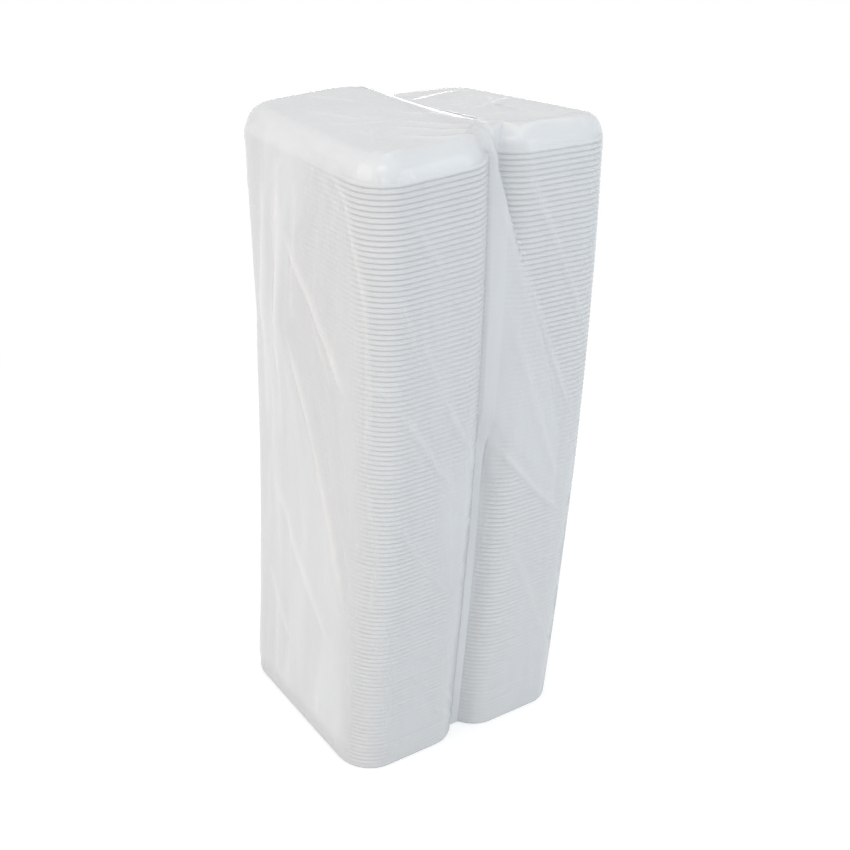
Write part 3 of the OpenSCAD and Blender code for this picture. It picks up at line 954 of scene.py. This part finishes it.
def camera_matrix(stage):
    """Place and turn of the camera. Yaw turns it from Y towards X, pitch tips it down."""
    yaw, pitch, roll = stage.camera_yaw, stage.camera_pitch, stage.camera_roll
    ahead = Vector((math.sin(yaw) * math.cos(pitch), math.cos(yaw) * math.cos(pitch), -math.sin(pitch)))
    right = Vector((math.cos(yaw), -math.sin(yaw), 0))
    down = ahead.cross(right)
    right, down = (
        math.cos(roll) * right + math.sin(roll) * down,
        -math.sin(roll) * right + math.cos(roll) * down,
    )
    turn = Matrix((right, -down, -ahead)).transposed().to_4x4()
    turn.translation = Vector(stage.camera_place)
    return turn


# Settings


class TrayPackSettings(bpy.types.PropertyGroup):
    """Colours of the pack and how its film looks."""

    foam_colour: bpy.props.FloatVectorProperty(
        name="Foam Colour",
        description="Colour of the foam trays",
        subtype="COLOR",
        size=4,
        min=0,
        max=1,
        default=(0.9, 0.905, 0.91, 1.0),
    )
    film_colour: bpy.props.FloatVectorProperty(
        name="Film Colour",
        description="Colour of the milky film",
        subtype="COLOR",
        size=4,
        min=0,
        max=1,
        default=(0.86, 0.88, 0.9, 1.0),
    )
    # painted highlight: the colour that the film turns to along its creases and on the rims it hugs
    painted_highlight_colour: bpy.props.FloatVectorProperty(
        name="Crease Colour",
        description="Colour of the film along its creases, where it is stretched white",
        subtype="COLOR",
        size=4,
        min=0,
        max=1,
        default=(1.0, 1.0, 1.0, 1.0),
    )
    milkiness: bpy.props.FloatProperty(
        name="Milkiness",
        description="How solid the film looks where it is tight",
        default=0.6,
        min=0,
        max=1,
    )
    haze: bpy.props.FloatProperty(
        name="Haze",
        description="How much more solid the film looks where it stands off the trays",
        default=0.36,
        min=0,
        max=1,
    )
    crumple: bpy.props.FloatProperty(
        name="Crumple", description="Height of the small creases in millimetres", default=0.9, min=0, max=2
    )


class StageSettings(bpy.types.PropertyGroup):
    """Floor, light and camera."""

    floor_size: bpy.props.FloatProperty(
        name="Floor Size",
        description="Length of the floor's side",
        default=14.0,
        min=2,
        max=50,
        unit="LENGTH",
    )
    camera_yaw: bpy.props.FloatProperty(
        name="Camera Yaw",
        description="Turn of the view about Z",
        default=math.radians(37.80),
        unit="ROTATION",
    )
    camera_pitch: bpy.props.FloatProperty(
        name="Camera Pitch",
        description="How far the view looks down",
        default=math.radians(25.96),
        unit="ROTATION",
    )
    camera_roll: bpy.props.FloatProperty(
        name="Camera Roll",
        description="Roll of the picture",
        default=math.radians(-4.83),
        unit="ROTATION",
    )
    camera_place: bpy.props.FloatVectorProperty(
        name="Camera Place",
        description="Where the camera stands",
        default=(-0.6555, -0.8725, 0.8550),
        unit="LENGTH",
    )
    focal: bpy.props.FloatProperty(
        name="Focal Length",
        description="Focal length on a 36 mm wide picture, in millimetres",
        default=49.64,
        min=20,
    )


# Operators


class PACK_OT_trays(bpy.types.Operator):
    """Give the nested trays their foam"""

    bl_idname = "tray_pack.trays"
    bl_label = "Foam Trays"

    def execute(self, context):
        foam_cells()
        foam = foam_material(context.scene.tray_pack)
        for name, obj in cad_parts.items():
            if name == "film_bag":
                continue
            obj.data.materials.clear()
            obj.data.materials.append(foam)
        return {"FINISHED"}


class PACK_OT_film(bpy.types.Operator):
    """Make the tight, creased film bag"""

    bl_idname = "tray_pack.film"
    bl_label = "Film Bag"

    def execute(self, context):
        settings = context.scene.tray_pack
        crinkles()
        points, haze, white = film_surface(settings.crumple)
        faces = film_faces(*points.shape[:2])
        film = mesh_object("film", points.reshape(-1, 3) * MM, faces, film_material(settings))
        # the haze makes the film less clear; the second attribute is its painted highlight
        for name, values in (("haze", haze), ("painted_highlight", white)):
            made = film.data.attributes.new(name, "FLOAT", "POINT")
            made.data.foreach_set("value", values.reshape(-1).astype(np.float32))
        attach(film, "root")
        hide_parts("film_bag")
        return {"FINISHED"}


class PACK_OT_stage(bpy.types.Operator):
    """Set the floor, the soft lights and the camera"""

    bl_idname = "tray_pack.stage"
    bl_label = "Stage"

    def execute(self, context):
        stage = context.scene.tray_pack_stage
        scene = context.scene
        half = stage.floor_size / 2
        corners = [(-half, -half, 0), (half, -half, 0), (half, half, 0), (-half, half, 0)]
        floor = mesh_object("floor", corners, [(0, 1, 2, 3)], floor_material())
        scene.world = studio_world()
        for values in SOFTBOXES:
            softbox(*values)
        camera = bpy.data.cameras.new("camera")
        camera.sensor_width = 36
        camera.lens = stage.focal
        view = bpy.data.objects.new("camera", camera)
        scene.collection.objects.link(view)
        view.matrix_world = camera_matrix(stage)
        scene.camera = view
        scene.view_settings.view_transform = "Standard"
        return {"FINISHED"}


class PACK_PT_panel(bpy.types.Panel):
    """Makes the pack and its stage"""

    bl_label = "Tray Pack"
    bl_idname = "PACK_PT_panel"
    bl_space_type = "VIEW_3D"
    bl_region_type = "UI"
    bl_category = "Tray Pack"

    def draw(self, context):
        layout = self.layout
        for name in TrayPackSettings.__annotations__:
            layout.prop(context.scene.tray_pack, name)
        for operator in (PACK_OT_trays, PACK_OT_film, PACK_OT_stage):
            layout.operator(operator.bl_idname)
        for name in StageSettings.__annotations__:
            layout.prop(context.scene.tray_pack_stage, name)


CLASSES = (TrayPackSettings, StageSettings, PACK_OT_trays, PACK_OT_film, PACK_OT_stage, PACK_PT_panel)


def register():
    for c in CLASSES:
        bpy.utils.register_class(c)
    bpy.types.Scene.tray_pack = bpy.props.PointerProperty(type=TrayPackSettings)
    bpy.types.Scene.tray_pack_stage = bpy.props.PointerProperty(type=StageSettings)


def unregister():
    del bpy.types.Scene.tray_pack
    del bpy.types.Scene.tray_pack_stage
    for c in reversed(CLASSES):
        bpy.utils.unregister_class(c)


def main():
    register()
    bpy.ops.tray_pack.stage()
    bpy.ops.tray_pack.trays()
    bpy.ops.tray_pack.film()


if __name__ == "__main__":
    main()
